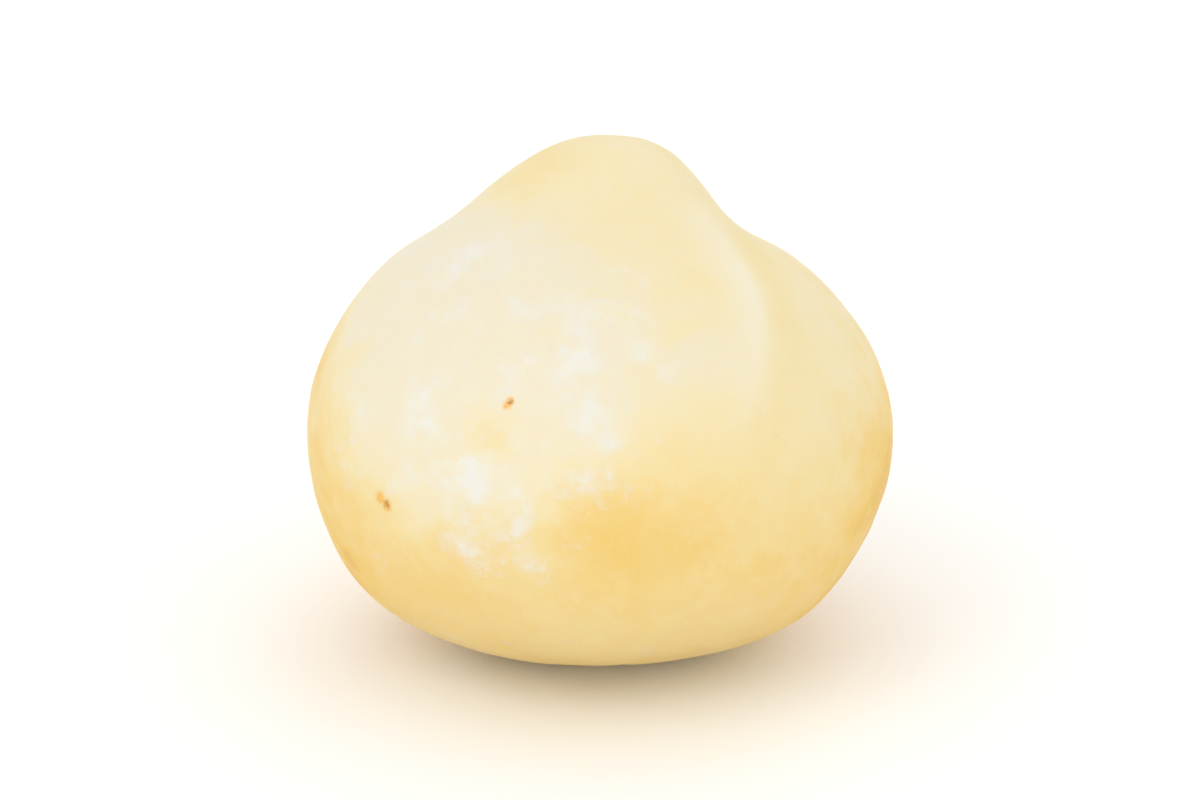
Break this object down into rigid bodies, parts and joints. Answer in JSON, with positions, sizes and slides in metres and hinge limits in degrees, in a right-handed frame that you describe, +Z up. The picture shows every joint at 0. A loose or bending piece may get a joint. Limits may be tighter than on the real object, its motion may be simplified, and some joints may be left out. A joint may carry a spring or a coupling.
{
  "type": "macadamia kernel",
  "caption": "Shelled macadamia kernel: a round, cream and gold seed with a blunt tip, chalky scuffs and a soft seam crest, lying on a small flat spot.",
  "frame": {"origin": "centre of the footprint of the kernel's box, on the surface that its flat spot rests on", "axes": "+Z up; the blunt tip points up and leans back towards +Y; the front with the longer crest faces -Y; +X is the kernel's right seen from the front"},
  "size_m": [0.0186, 0.017, 0.0164],
  "materials": {
    "kernel_flesh": "waxy satin cream and gold, with off-white chalky scuffs"
  },
  "bodies": {
    "root": {"kernel": "kernel_flesh"}
  },
  "joints": []
}
